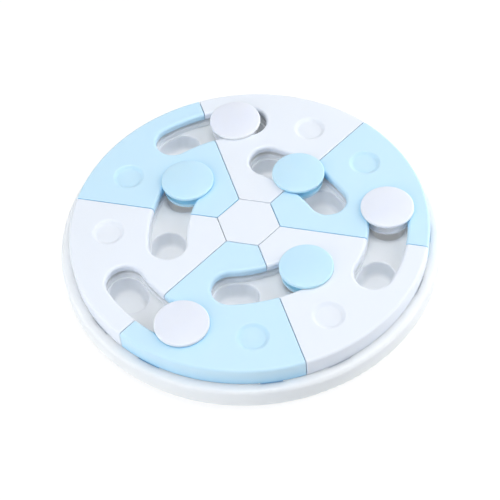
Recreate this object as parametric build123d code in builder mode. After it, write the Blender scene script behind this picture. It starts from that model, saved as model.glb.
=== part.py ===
from build123d import *
import math
import os

# Round sliding-puzzle feeder for dogs: a moulded base tray with twelve food wells, six wedge panels and a
# six-sided hub plate screwed on top, and six knobs that slide along arc slots to cover and uncover the wells.
#
# Frame: millimetres, +Z up, origin on the floor under the middle of the board. The seams between panels lie
# every 60 degrees from +Y. An outer slot and an inner slot take turns on the seams, going round.

# ---------------------------------------------------------------- driving dimensions
# Board
board_radius = 125.0          # outside of the base tray
ledge_width = 7.0             # base ledge left showing round the panels
top_height = 30.0             # panel tops above the floor
ledge_height = 17.0           # ledge top above the floor
foot_proud = 2.0              # how far the feet hold the base off the floor
base_wall = 2.4               # walls of the base tray
ledge_round = 2.2             # rounding of the ledge's outer edge
base_foot_round = 2.0         # rounding of the base's lower outer edge

# Heights under the panels
panel_depth = 4.8             # panel edge walls, from the top down
slide_gap = 2.9               # room for the slider discs between panels and deck
channel_depth = 3.3           # slide channel, below the deck
well_depth = 12.0             # food well, below the channel floor

# Slots, channels and wells
slot_half_width = 12.4
slot_inset = 26.9             # outer slot's centre line, in from the panels' rim
inner_slot_reach = 52.0       # middle of an inner slot, out from the board's centre
slot_half_travel = 27.3       # knob travel each way from the middle of its slot, along the arc
channel_inset = 0.2           # channel narrower than the slot, each side
channel_rim_round = 1.0
well_half_width = 11.1
well_stretch = 6.9            # distance between the centres of a well's two round ends
well_draft = 5.0              # degrees
well_floor_round = 3.0
well_rim_round = 0.8
well_wall = 1.8
well_rim_land = 1.0           # room for the rim's rounding round a well

# Panels and hub plate
panel_plate = 2.4             # top skin
panel_rib = 2.0               # walls round every panel edge, slots included
skirt_wall = 2.2              # outer skirt
seam_gap = 0.4                # gap between neighbouring panels
hub_corner_radius = 21.1
panel_rim_round = 1.8
slot_edge_round = 2.2
seam_edge_round = 0.6
dimple_radius = 10.4          # at the panel's top, before its lip is rounded
dimple_floor_radius = 8.0     # where its sloping wall meets its floor
dimple_depth = 1.7
dimple_lip_round = 2.0
dimple_floor_round = 2.0
dimple_inset = 26.0           # dimple centre, in from the panels' rim
dimple_seam_distance = 24.6   # dimple centre, square off the inner slot's seam
dimple_skin = 1.6             # plastic left under a dimple
deck_clearance = 0.4          # between the panels' skirts and the base's raised deck

# Snap tabs under the panels' skirts, in slits through the ledge
tab_width = 14.0
tab_seam_distance = 22.0      # tab centre, along the rim from its seam
tab_side_clearance = 1.0
tab_slit_gap = 0.5            # slit showing outside the skirt
tab_reach = 1.6               # tab below the underside of the ledge
tab_barb = 1.2                # barb, out from the skirt's face
tab_barb_clearance = 0.2

# Knobs
cap_radius = 17.5
cap_edge_thickness = 1.9
cap_crown = 1.4
cap_flat_radius = 1.0         # level middle of the crown
cap_edge_round = 1.0
cap_clearance = 0.4           # cap's underside above the panels
neck_clearance = 0.5          # neck to slot, each side
neck_wall = 2.0
slider_radius = 16.2
slider_thickness = 2.2
slider_clearance = 0.3        # slider above the deck
spigot_height = 1.5
spigot_clearance = 0.1
knob_boss_radius = 3.2

# Screws
screw_radius = 1.4
screw_clearance = 0.2         # screw in a through hole
pilot_clearance = 0.05        # screw in its pilot hole
screw_bite = 4.6              # screw into a panel boss
screw_head_radius = 2.8
screw_head_thickness = 1.9
head_clearance = 0.3
boss_wall = 1.9
knob_screw_length = 6.8
recess_width = 0.8
recess_length = 3.0
recess_depth = 1.1
screw_seat_drop = 6.0         # screw head's seat, below the deck's underside
near_screw_reach = 27.0       # near screw: on the panel's middle line, out from the board's centre
far_screw_reach = 60.0        # far screw: beside the outer slot's seam
far_screw_seam_distance = 8.4
hub_leg_reach = 13.5
hub_leg_radius = 2.0

# Ribs and feet
rib_thickness = 1.6
rib_drop = 8.0                # ribs below the deck's underside
ledge_rib_drop = 2.7          # short ribs below the ledge's underside
ring_rib_radius = 36.0
foot_inset = 20.0             # foot centres, in from the base's outside
foot_post_radius = 9.0
foot_post_wall = 2.0
foot_post_skin = 2.0          # plastic left between a foot's socket and the channels
foot_plug_height = 6.0
foot_plug_clearance = 0.05
foot_edge_round = 0.6

# Seams between panels, in degrees, and where the knob of each seam's slot stands, as a share of
# slot_half_travel, counter-clockwise positive.
wedge_angle = 60.0
outer_seams = [90.0, -30.0, 210.0]
outer_knob_shares = [-0.665, 1.0, 0.92]
inner_seams = [30.0, -90.0, 150.0]
inner_knob_shares = [0.093, 0.863, -1.0]

# ---------------------------------------------------------------- worked out from the above
panel_radius = board_radius - ledge_width
deck_radius = panel_radius - skirt_wall - deck_clearance
panel_underside = top_height - panel_depth
plate_underside = top_height - panel_plate
deck_top = panel_underside - slide_gap
deck_underside = deck_top - base_wall
channel_floor = deck_top - channel_depth
trough_underside = channel_floor - base_wall
ledge_underside = ledge_height - base_wall
slot_radius = panel_radius - slot_inset
inner_arc_offset = slot_radius - inner_slot_reach
half_travel_angle = math.degrees(slot_half_travel / slot_radius)
well_angle = math.degrees((slot_half_travel - well_stretch / 2) / slot_radius)
channel_half_width = slot_half_width - channel_inset
neck_radius = slot_half_width - neck_clearance
neck_bore = neck_radius - neck_wall
cap_underside = top_height + cap_clearance
cap_top = cap_underside + cap_edge_thickness + cap_crown
slider_bottom = deck_top + slider_clearance
slider_top = slider_bottom + slider_thickness
screw_hole_radius = screw_radius + screw_clearance
pilot_radius = screw_radius + pilot_clearance
head_pocket_radius = screw_head_radius + head_clearance
screw_seat = deck_underside - screw_seat_drop
screw_tip = deck_top + screw_bite
screw_post_bottom = screw_seat - screw_head_thickness - head_clearance
panel_boss_radius = pilot_radius + boss_wall
rib_bottom = deck_underside - rib_drop
ledge_rib_bottom = ledge_underside - ledge_rib_drop
foot_circle = board_radius - foot_inset
foot_socket_radius = foot_post_radius - foot_post_wall
tab_bottom = ledge_underside - tab_reach
tab_angle = math.degrees(tab_seam_distance / panel_radius)

first_seam = inner_seams[0]

os.makedirs("parts", exist_ok=True)


def save(part, label):
    """Labels a finished piece and writes its STEP file."""
    part.label = label
    export_step(part, f"parts/{label}.step")


def polar(radius, angle):
    """A point in the board's plane from its radius and its angle in degrees."""
    turn = math.radians(angle)
    return (radius * math.cos(turn), radius * math.sin(turn))


def slot_location(seam, is_outer):
    """Place of a slot: origin at its arc's centre, X along its seam."""
    offset = 0.0 if is_outer else inner_arc_offset
    return Location((*polar(-offset, seam), 0), (0, 0, seam))


slot_locations = [slot_location(seam, True) for seam in outer_seams]
slot_locations += [slot_location(seam, False) for seam in inner_seams]

# The two wells of a slot, from the slot's own place: X across the well.
well_locations = [
    Location((*polar(slot_radius, turn), channel_floor), (0, 0, turn))
    for turn in (-well_angle, well_angle)
]

# Screws in the first wedge, between the outer seam at 0 and the inner seam at 60 degrees.
far_screw_turn = math.degrees(math.asin(far_screw_seam_distance / far_screw_reach))
wedge_screws = [polar(near_screw_reach, wedge_angle / 2), polar(far_screw_reach, far_screw_turn)]
board_screws = [
    polar(radius, seam + side * turn)
    for seam in outer_seams
    for side in (-1, 1)
    for radius, turn in ((near_screw_reach, wedge_angle / 2), (far_screw_reach, far_screw_turn))
]
tab_turns = (tab_angle, wedge_angle - tab_angle)


def arc_slot(half_width, mode=Mode.ADD):
    """A slot's outline about its arc's centre, in the sketch that is open."""
    arc = CenterArc((0, 0), slot_radius, -half_travel_angle, 2 * half_travel_angle, mode=Mode.PRIVATE)
    SlotArc(arc, height=2 * half_width, mode=mode)


def wedge_outline(with_slots):
    """The first wedge panel's outline, in the sketch that is open."""
    apex = Vector(*polar(seam_gap, wedge_angle / 2))
    reach = 2 * board_radius
    Polygon(apex, apex + Vector(reach, 0), apex + Vector(*polar(reach, wedge_angle)), align=None)
    Circle(panel_radius, mode=Mode.INTERSECT)
    hub_hole = hub_corner_radius + seam_gap / 2 / math.cos(math.radians(wedge_angle / 2))
    RegularPolygon(hub_hole, 6, mode=Mode.SUBTRACT)
    if with_slots:
        with Locations(slot_location(0, True), slot_location(wedge_angle, False)):
            arc_slot(slot_half_width, mode=Mode.SUBTRACT)


# ---------------------------------------------------------------- base tray
# The hollow of one food well, from the channel floor down, with a rounded rim.
with BuildPart() as well:
    with BuildSketch():
        SlotCenterToCenter(well_stretch, 2 * well_half_width, rotation=90)
    extrude(amount=-well_depth, taper=well_draft)
    fillet(well.edges().group_by(Axis.Z)[0], well_floor_round)
    with BuildSketch():
        SlotCenterToCenter(well_stretch, 2 * (well_half_width + well_rim_land), rotation=90)
    extrude(amount=channel_depth / 2)
    mouth = well.edges().filter_by_position(Axis.Z, -0.01, 0.01)
    rim = mouth.filter_by(lambda edge: edge.distance_to((0, 0, 0)) < well_half_width + well_rim_land / 2)
    fillet(rim, well_rim_round)

# The hollow of one slot: its slide channel and a well at each end.
with BuildPart() as cavity:
    with BuildSketch(Plane.XY.offset(channel_floor)):
        arc_slot(channel_half_width)
    extrude(amount=channel_depth + base_wall)
    with Locations(*well_locations):
        add(well.part)

# The shell that wraps one slot's channel and wells below the deck.
with BuildPart() as well_shell:
    with BuildSketch():
        SlotCenterToCenter(well_stretch, 2 * (well_half_width + well_wall), rotation=90)
    extrude(amount=-well_depth - well_wall, taper=well_draft)
    fillet(well_shell.edges().group_by(Axis.Z)[0], well_floor_round)

with BuildPart() as trough:
    with BuildSketch(Plane.XY.offset(trough_underside)):
        arc_slot(channel_half_width + base_wall)
    extrude(amount=deck_underside + base_wall / 2 - trough_underside)
    with Locations(*well_locations):
        add(well_shell.part)

with BuildPart() as base_tray:
    # Shell of revolution: deck, riser, ledge and outer wall.
    with BuildSketch(Plane.XZ) as shell:
        with BuildLine():
            Polyline(
                (0, deck_top),
                (deck_radius, deck_top),
                (deck_radius, ledge_height),
                (board_radius, ledge_height),
                (board_radius, foot_proud),
                (board_radius - base_wall, foot_proud),
                (board_radius - base_wall, ledge_underside),
                (deck_radius - base_wall, ledge_underside),
                (deck_radius - base_wall, deck_underside),
                (0, deck_underside),
                close=True,
            )
        make_face()
        fillet(shell.vertices().group_by(Axis.X)[-1].sort_by(Axis.Y)[-1], ledge_round)
        fillet(shell.vertices().group_by(Axis.X)[-1].sort_by(Axis.Y)[0], base_foot_round)
    revolve(axis=Axis.Z)
    with Locations(*slot_locations):
        add(trough.part)
    # Ribs: a ring round the hub and one under each seam, then short ones under the ledge.
    with BuildSketch(Plane.XY.offset(rib_bottom)):
        Circle(ring_rib_radius + rib_thickness / 2)
        Circle(ring_rib_radius - rib_thickness / 2, mode=Mode.SUBTRACT)
        with PolarLocations(0, 6, start_angle=first_seam):
            Rectangle(deck_radius - base_wall / 2, rib_thickness, align=(Align.MIN, Align.CENTER))
    extrude(amount=rib_drop + base_wall / 2)
    with BuildSketch(Plane.XY.offset(ledge_rib_bottom)):
        with PolarLocations(0, 12, start_angle=first_seam / 2):
            Rectangle(board_radius - base_wall / 2, rib_thickness, align=(Align.MIN, Align.CENTER))
        Circle(deck_radius - base_wall / 2, mode=Mode.SUBTRACT)
    extrude(amount=ledge_rib_drop + base_wall / 2)
    # Posts for the screws and the feet.
    with BuildSketch(Plane.XY.offset(screw_post_bottom)):
        with Locations((0, 0), *board_screws):
            Circle(head_pocket_radius + boss_wall)
    extrude(amount=deck_underside + base_wall / 2 - screw_post_bottom)
    with BuildSketch(Plane.XY.offset(foot_proud)):
        with PolarLocations(foot_circle, 6, start_angle=first_seam):
            Circle(foot_post_radius)
    extrude(amount=deck_underside + base_wall / 2 - foot_proud)
    # Hollows.
    with Locations(*slot_locations):
        add(cavity.part, mode=Mode.SUBTRACT)
    with BuildSketch(Plane.XY.offset(foot_proud)):
        with PolarLocations(foot_circle, 6, start_angle=first_seam):
            Circle(foot_socket_radius)
    extrude(amount=trough_underside - foot_post_skin - foot_proud, mode=Mode.SUBTRACT)
    with BuildSketch(Plane.XY.offset(screw_post_bottom)):
        with Locations((0, 0), *board_screws):
            Circle(head_pocket_radius)
    extrude(amount=screw_seat - screw_post_bottom, mode=Mode.SUBTRACT)
    with BuildSketch(Plane.XY.offset(screw_seat)):
        with Locations((0, 0), *board_screws):
            Circle(screw_hole_radius)
    extrude(amount=deck_top - screw_seat, mode=Mode.SUBTRACT)
    deck_edges = base_tray.edges().filter_by_position(Axis.Z, deck_top - 0.01, deck_top + 0.01)
    rims = deck_edges.filter_by(GeomType.CIRCLE)
    fillet(rims.filter_by(lambda e: screw_hole_radius < e.radius < deck_radius), channel_rim_round)
    # Slits through the ledge for the panels' snap tabs.
    with BuildSketch(Plane.XY.offset(ledge_underside)):
        for seam in outer_seams + inner_seams:
            for turn in tab_turns:
                with Locations(Location((0, 0), seam + turn)):
                    Rectangle(
                        board_radius,
                        tab_width + 2 * tab_side_clearance,
                        align=(Align.MIN, Align.CENTER),
                    )
        Circle(panel_radius + tab_slit_gap, mode=Mode.INTERSECT)
        Circle(deck_radius, mode=Mode.SUBTRACT)
    extrude(amount=base_wall, mode=Mode.SUBTRACT)

save(base_tray.part, "base_tray")

# ---------------------------------------------------------------- wedge panels
# The cutter of a dimple, from the panel's top down.
with BuildPart() as dimple:
    with BuildSketch(Plane.XZ) as bowl:
        with BuildLine():
            Polyline(
                (0, -dimple_depth),
                (dimple_floor_radius, -dimple_depth),
                (dimple_radius, 0),
                (dimple_radius, dimple_depth),
                (0, dimple_depth),
                close=True,
            )
        make_face()
        fillet(bowl.vertices().group_by(Axis.Y)[0].sort_by(Axis.X)[-1], dimple_floor_round)
    revolve(axis=Axis.Z)

dimple_circle = panel_radius - dimple_inset
dimple_turn = wedge_angle - math.degrees(math.asin(dimple_seam_distance / dimple_circle))
dimple_place = (*polar(dimple_circle, dimple_turn), 0)

with BuildPart() as panel:
    with BuildSketch(Plane.XY.offset(panel_underside)):
        wedge_outline(with_slots=True)
    extrude(amount=panel_depth)
    # Thin plate with a wall left along every edge.
    with BuildSketch(Plane.XY.offset(panel_underside)):
        wedge_outline(with_slots=True)
        offset(amount=-panel_rib)
    extrude(amount=panel_depth - panel_plate, mode=Mode.SUBTRACT)
    # Skirt, down to the base's ledge.
    with BuildSketch(Plane.XY.offset(ledge_height)):
        wedge_outline(with_slots=False)
        Circle(panel_radius - skirt_wall, mode=Mode.SUBTRACT)
    extrude(amount=panel_underside - ledge_height + panel_depth / 2)
    # Rounded edges: the rim, then the slots, then the straight edges along the seams.
    rim_edge = panel.edges().group_by(Axis.Z)[-1].filter_by(GeomType.CIRCLE).sort_by(lambda e: e.radius)[-1]
    fillet(rim_edge, panel_rim_round)
    slot_edges = panel.faces().sort_by(Axis.Z)[-1].edges().filter_by(GeomType.CIRCLE)
    fillet(slot_edges.filter_by(lambda e: e.radius < panel_radius - 2 * panel_rim_round), slot_edge_round)
    seam_edges = panel.faces().sort_by(Axis.Z)[-1].edges().filter_by(GeomType.LINE)
    fillet(seam_edges, seam_edge_round)
    # Screw bosses, down to the deck.
    with BuildSketch(Plane.XY.offset(deck_top)):
        with Locations(*wedge_screws):
            Circle(panel_boss_radius)
    extrude(amount=plate_underside - deck_top + panel_plate / 2)
    with BuildSketch(Plane.XY.offset(deck_top)):
        with Locations(*wedge_screws):
            Circle(pilot_radius)
    extrude(amount=screw_bite + pilot_clearance, mode=Mode.SUBTRACT)
    # Dimple, with a pad under it.
    with BuildSketch(Plane.XY.offset(top_height - dimple_depth - dimple_skin)):
        with Locations(dimple_place):
            Circle(dimple_radius)
    extrude(amount=dimple_skin)
    with Locations((dimple_place[0], dimple_place[1], top_height)):
        add(dimple.part, mode=Mode.SUBTRACT)
    lip = panel.edges().group_by(Axis.Z)[-1].filter_by(GeomType.CIRCLE).sort_by(lambda e: e.radius)[0]
    fillet(lip, dimple_lip_round)
    # Snap tabs with their barbs.
    for bottom, top, barb in (
        (tab_bottom, ledge_height, 0.0),
        (tab_bottom, ledge_underside - tab_barb_clearance, tab_barb),
    ):
        with BuildSketch(Plane.XY.offset(bottom)):
            for turn in tab_turns:
                with Locations(Location((0, 0), turn)):
                    Rectangle(board_radius, tab_width, align=(Align.MIN, Align.CENTER))
            Circle(panel_radius + barb, mode=Mode.INTERSECT)
            Circle(panel_radius - skirt_wall, mode=Mode.SUBTRACT)
        extrude(amount=top - bottom)

with BuildPart() as mirrored_panel:
    mirror(panel.part, about=Plane.XZ)

for colour, wedge in (("blue", panel.part), ("white", mirrored_panel.part)):
    for number, seam in enumerate(outer_seams, start=1):
        with BuildPart() as placed_panel:
            with Locations(Location((0, 0, 0), (0, 0, seam))):
                add(wedge)
        save(placed_panel.part, f"panel_{colour}_{number}")

# ---------------------------------------------------------------- hub plate
hub_plate_radius = hub_corner_radius - seam_gap / 2 / math.cos(math.radians(wedge_angle / 2))

with BuildPart() as hub_plate:
    with BuildSketch(Plane.XY.offset(panel_underside)):
        RegularPolygon(hub_plate_radius, 6, rotation=first_seam)
    extrude(amount=panel_depth)
    fillet(hub_plate.edges().group_by(Axis.Z)[-1], seam_edge_round)
    with BuildSketch(Plane.XY.offset(panel_underside)):
        RegularPolygon(hub_plate_radius, 6, rotation=first_seam)
        offset(amount=-panel_rib)
    extrude(amount=panel_depth - panel_plate, mode=Mode.SUBTRACT)
    with BuildSketch(Plane.XY.offset(deck_top)):
        Circle(panel_boss_radius)
        with PolarLocations(hub_leg_reach, 3, start_angle=outer_seams[0]):
            Circle(hub_leg_radius)
    extrude(amount=plate_underside - deck_top + panel_plate / 2)
    with BuildSketch(Plane.XY.offset(deck_top)):
        Circle(pilot_radius)
    extrude(amount=screw_bite + pilot_clearance, mode=Mode.SUBTRACT)

save(hub_plate.part, "hub_plate")

# ---------------------------------------------------------------- screws of the panels and the hub plate
# The driver recess up into a screw's head, from its own foot.
with BuildPart() as cross_recess:
    with BuildSketch():
        Rectangle(recess_length, recess_width)
        Rectangle(recess_width, recess_length)
    extrude(amount=recess_depth)

with BuildPart() as board_screw:
    with BuildSketch(Plane.XY.offset(screw_seat)):
        Circle(screw_head_radius)
    extrude(amount=-screw_head_thickness)
    fillet(board_screw.edges().group_by(Axis.Z)[0], screw_head_thickness / 3)
    with BuildSketch(Plane.XY.offset(screw_seat)):
        Circle(screw_radius)
    extrude(amount=screw_tip - screw_seat)
    chamfer(board_screw.edges().group_by(Axis.Z)[-1], screw_radius / 2)
    with Locations((0, 0, screw_seat - screw_head_thickness)):
        add(cross_recess.part, mode=Mode.SUBTRACT)

with BuildPart() as panel_screws:
    with Locations(*board_screws):
        add(board_screw.part)

save(panel_screws.part, "panel_screws")
save(board_screw.part, "hub_screw")

# ---------------------------------------------------------------- knobs
# Each knob is a cap over the panels and a slider disc under them, screwed together through the slot.
with BuildPart() as cap:
    with BuildSketch(Plane.XZ):
        with BuildLine():
            Polyline(
                (cap_flat_radius, cap_top),
                (0, cap_top),
                (0, cap_underside),
                (cap_radius, cap_underside),
                (cap_radius, cap_underside + cap_edge_thickness),
            )
            TangentArc(
                (cap_flat_radius, cap_top),
                (cap_radius, cap_underside + cap_edge_thickness),
                tangent=(1, 0),
            )
        make_face()
    revolve(axis=Axis.Z)
    rims = cap.edges().filter_by(lambda e: e.is_closed).sort_by(SortBy.LENGTH)[-2:].sort_by(Axis.Z)
    fillet(rims[-1], cap_edge_round)
    fillet(rims[0], cap_edge_round / 3)
    with BuildSketch(Plane.XY.offset(slider_top)):
        Circle(neck_radius)
        Circle(neck_bore, mode=Mode.SUBTRACT)
        Circle(knob_boss_radius)
        Circle(pilot_radius, mode=Mode.SUBTRACT)
    extrude(amount=cap_underside - slider_top)

with BuildPart() as slider:
    with BuildSketch(Plane.XZ) as slider_profile:
        with BuildLine():
            Polyline(
                (screw_hole_radius, slider_top),
                (slider_radius, slider_top),
                (slider_radius, slider_bottom),
                (head_pocket_radius, slider_bottom),
                (screw_hole_radius, slider_bottom + head_pocket_radius - screw_hole_radius),
                close=True,
            )
        make_face()
        fillet(slider_profile.vertices().group_by(Axis.X)[-1], slider_thickness / 5)
    revolve(axis=Axis.Z)
    with BuildSketch(Plane.XY.offset(slider_top)):
        Circle(neck_bore - spigot_clearance)
        Circle(neck_bore - spigot_clearance - neck_wall, mode=Mode.SUBTRACT)
    extrude(amount=spigot_height)

with BuildPart() as cap_screw:
    with BuildSketch(Plane.XZ):
        with BuildLine():
            Polyline(
                (0, slider_bottom),
                (screw_head_radius, slider_bottom),
                (screw_radius, slider_bottom + screw_head_radius - screw_radius),
                (screw_radius, slider_bottom + knob_screw_length),
                (0, slider_bottom + knob_screw_length),
                close=True,
            )
        make_face()
    revolve(axis=Axis.Z)
    with Locations((0, 0, slider_bottom)):
        add(cross_recess.part, mode=Mode.SUBTRACT)

for ring, is_outer, seams, shares in (
    ("outer", True, outer_seams, outer_knob_shares),
    ("inner", False, inner_seams, inner_knob_shares),
):
    for number, (seam, share) in enumerate(zip(seams, shares), start=1):
        along_arc = Location((0, 0, 0), (0, 0, share * half_travel_angle))
        place = slot_location(seam, is_outer) * along_arc * Location((slot_radius, 0, 0))
        for kind, piece in (("cap", cap.part), ("slider", slider.part), ("cap_screw", cap_screw.part)):
            with BuildPart() as placed_piece:
                with Locations(place):
                    add(piece)
            save(placed_piece.part, f"{kind}_{ring}_{number}")

# ---------------------------------------------------------------- feet
with BuildPart() as foot:
    with BuildSketch():
        Circle(foot_post_radius)
    extrude(amount=foot_proud)
    fillet(foot.edges().group_by(Axis.Z)[0], foot_edge_round)
    with BuildSketch(Plane.XY.offset(foot_proud)):
        Circle(foot_socket_radius - foot_plug_clearance)
    extrude(amount=foot_plug_height)

for number in range(6):
    with BuildPart() as placed_foot:
        with Locations((*polar(foot_circle, first_seam + wedge_angle * number), 0)):
            add(foot.part)
    save(placed_foot.part, f"foot_{number + 1}")
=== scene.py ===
import logging
import math
from collections.abc import Callable, Iterable, Sequence
from dataclasses import dataclass, field
from enum import Enum

import bmesh
import bpy
from mathutils import Matrix, Vector


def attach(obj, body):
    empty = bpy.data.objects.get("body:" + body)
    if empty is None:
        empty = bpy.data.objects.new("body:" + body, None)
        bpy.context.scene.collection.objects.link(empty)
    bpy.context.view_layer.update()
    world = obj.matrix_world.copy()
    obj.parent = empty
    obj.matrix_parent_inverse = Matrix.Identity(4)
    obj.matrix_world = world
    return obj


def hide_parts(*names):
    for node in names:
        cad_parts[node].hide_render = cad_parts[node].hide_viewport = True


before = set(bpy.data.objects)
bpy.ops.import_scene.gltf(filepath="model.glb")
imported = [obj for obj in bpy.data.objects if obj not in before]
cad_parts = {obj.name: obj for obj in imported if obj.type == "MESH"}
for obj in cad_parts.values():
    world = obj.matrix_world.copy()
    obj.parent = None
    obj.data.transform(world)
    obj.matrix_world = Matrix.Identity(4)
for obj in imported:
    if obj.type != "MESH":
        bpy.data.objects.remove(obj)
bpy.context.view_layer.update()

log = logging.getLogger("puzzle_feeder")

MM = 0.001
ON_AXIS = 1e-6
Colour = tuple[float, float, float]
Point = tuple[float, float, float]
Socket = bpy.types.NodeSocket
Value = Socket | Colour | Point | float


# ---------------------------------------------------------------- shader and geometry trees
@dataclass
class NodeTree:
    """Small helper that adds and joins nodes in one tree."""

    tree: bpy.types.NodeTree

    def put(self, slot: Socket, value: Value) -> None:
        """Links a socket to an input, or sets the input to a number or colour.

        Args:
            slot: The input.
            value: What it takes.
        """
        if isinstance(value, bpy.types.NodeSocket):
            self.tree.links.new(value, slot)
        else:
            slot.default_value = (*value, 1.0) if slot.type == "RGBA" else value

    def feed(self, node: bpy.types.Node, *values: Value, **named: Value) -> bpy.types.Node:
        """Links or sets a node's inputs.

        Args:
            node: The node.
            values: What its inputs take, in order from the first.
            named: What an input takes, by its name with underscores for spaces.

        Returns:
            The node.
        """
        for slot, value in zip(node.inputs, values):
            self.put(slot, value)
        for name, value in named.items():
            self.put(node.inputs[name.replace("_", " ")], value)
        return node

    def add(
        self, kind: str, *values: Value, settings: dict[str, object] | None = None, **named: Value
    ) -> bpy.types.Node:
        """Adds a node.

        Args:
            kind: Blender's name of the node type.
            values: What its inputs take, in order from the first.
            settings: Its plain properties, by name.
            named: What an input takes, by its name with underscores for spaces.

        Returns:
            The new node.
        """
        node = self.tree.nodes.new(kind)
        for name, value in (settings or {}).items():
            setattr(node, name, value)
        return self.feed(node, *values, **named)

    def math(self, operation: str, *values: Value, kind: str = "ShaderNodeMath") -> Socket:
        """Adds a Math node.

        Args:
            operation: Blender's name of the operation.
            values: Its inputs.
            kind: Blender's name of the node type.

        Returns:
            Its result.
        """
        node = self.add(kind, *values, settings={"operation": operation})
        return next(slot for slot in node.outputs if slot.enabled)

    def noise(self, place: Socket, scale: Value, detail: float = 2.0) -> Socket:
        """Adds a noise pattern.

        Args:
            place: The point to read it at.
            scale: Cells per metre.
            detail: Octaves of finer noise.

        Returns:
            The pattern, about 0 to 1.
        """
        node = self.add("ShaderNodeTexNoise", Vector=place, Scale=scale, Detail=detail)
        return node.outputs["Fac"]

    def ramp(
        self, start: Socket, band: tuple[Value, Value], ends: tuple[float, float] = (0.0, 1.0)
    ) -> Socket:
        """Maps a value from one range to another, clamped.

        Args:
            start: Socket that gives the value.
            band: Lower and upper end of the incoming range.
            ends: What those two ends become.

        Returns:
            The mapped value.
        """
        return self.add("ShaderNodeMapRange", start, *band, *ends).outputs["Result"]

    def blend(self, share: Socket, first: Socket, second: Socket | Colour) -> Socket:
        """Mixes two colours.

        Args:
            share: How much of the second colour.
            first: The first colour.
            second: The second colour, a socket or fixed.

        Returns:
            The mixed colour.
        """
        node = self.add("ShaderNodeMix", settings={"data_type": "RGBA"}, Factor=share)
        slots = [slot for slot in node.inputs if slot.type == "RGBA"]
        self.put(slots[0], first)
        self.put(slots[1], second)
        return next(slot for slot in node.outputs if slot.type == "RGBA")

    def choose(self, share: Socket, first: Socket, second: Socket) -> Socket:
        """Mixes two shaders.

        Args:
            share: How much of the second shader.
            first: The first shader.
            second: The second shader.

        Returns:
            The mixed shader.
        """
        return self.add("ShaderNodeMixShader", share, first, second).outputs["Shader"]


def new_group(
    name: str, outputs: dict[str, str], inputs: dict[str, tuple], kind: str = "ShaderNodeTree"
) -> tuple[NodeTree, bpy.types.Node, bpy.types.Node]:
    """Starts a node group with named sockets.

    Args:
        name: Name of the group.
        outputs: Socket names, each with its socket type.
        inputs: Socket names, each with its socket type and default value, or None for no default.
        kind: Blender's name of the tree type.

    Returns:
        The group's tree, its input node and its output node.
    """
    group = bpy.data.node_groups.new(name, kind)
    for socket, (sort, default) in inputs.items():
        made = group.interface.new_socket(socket, in_out="INPUT", socket_type=sort)
        if default is not None:
            made.default_value = default
    for socket, sort in outputs.items():
        group.interface.new_socket(socket, in_out="OUTPUT", socket_type=sort)
    tree = NodeTree(group)
    return tree, tree.add("NodeGroupInput"), tree.add("NodeGroupOutput")


def cleared(owner: bpy.types.Material | bpy.types.World) -> NodeTree:
    """Empties the node tree of a new material or world.

    Args:
        owner: The material or world.

    Returns:
        Its tree.
    """
    owner.use_nodes = True
    owner.node_tree.nodes.clear()
    return NodeTree(owner.node_tree)


# ---------------------------------------------------------------- shared effects
FLOAT, COLOUR = "NodeSocketFloat", "NodeSocketColor"
VECTOR = ("NodeSocketVector", (0.0, 0.0, 0.0))
GREY = (COLOUR, (0.8, 0.8, 0.8, 1.0))
DARKER_GREY = (COLOUR, (0.7, 0.7, 0.7, 1.0))
FALLING = (1.0, 0.0)


class Band(Enum):
    """Values of a pattern or a measure between which an effect comes in."""

    WAVE = (0.30, 0.70)
    PIGMENT = (0.35, 0.70)
    FACING_UP = (0.50, 0.95)
    SPECK = (0.64, 0.78)
    DUST_PATCH = (0.40, 0.65)
    STREAK = (0.35, 0.65)
    RUBBED_EDGE = (0.75, 1.05)
    SCRATCH = (0.66, 0.70)


def moulding_grain() -> bpy.types.NodeTree:
    """Fine spark-eroded grain and slow flow waviness of a moulded skin.

    Returns:
        The group. It puts out a height in metres and a shift of roughness.
    """
    tree, start, end = new_group(
        "moulding_grain",
        {"Height": FLOAT, "Roughness Shift": FLOAT},
        {
            "Vector": VECTOR,
            "Grain Scale": (FLOAT, 2600.0),
            "Grain Height": (FLOAT, 0.000005),
            "Wave Scale": (FLOAT, 28.0),
            "Wave Height": (FLOAT, 0.00003),
        },
    )
    place = start.outputs["Vector"]
    grain = tree.noise(place, start.outputs["Grain Scale"])
    wave = tree.noise(place, start.outputs["Wave Scale"], detail=1.0)
    fine = tree.math("MULTIPLY", grain, start.outputs["Grain Height"])
    slow = tree.math("MULTIPLY", wave, start.outputs["Wave Height"])
    swing = 0.03
    shift = tree.ramp(wave, Band.WAVE.value, (-swing, swing))
    tree.feed(end, Height=tree.math("ADD", fine, slow), Roughness_Shift=shift)
    return tree.tree


def pigment_drift() -> bpy.types.NodeTree:
    """Faint swirls where the pigment of the plastic is a little denser.

    Returns:
        The group. It puts out the tinted colour.
    """
    tree, start, end = new_group(
        "pigment_drift",
        {"Colour": COLOUR},
        {
            "Vector": VECTOR,
            "Colour": GREY,
            "Dense Colour": DARKER_GREY,
            "Scale": (FLOAT, 14.0),
            "Amount": (FLOAT, 0.25),
        },
    )
    cloud = tree.noise(start.outputs["Vector"], start.outputs["Scale"], detail=4.0)
    dense = tree.ramp(cloud, Band.PIGMENT.value)
    share = tree.math("MULTIPLY", dense, start.outputs["Amount"])
    tree.feed(end, Colour=tree.blend(share, start.outputs["Colour"], start.outputs["Dense Colour"]))
    return tree.tree


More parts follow.
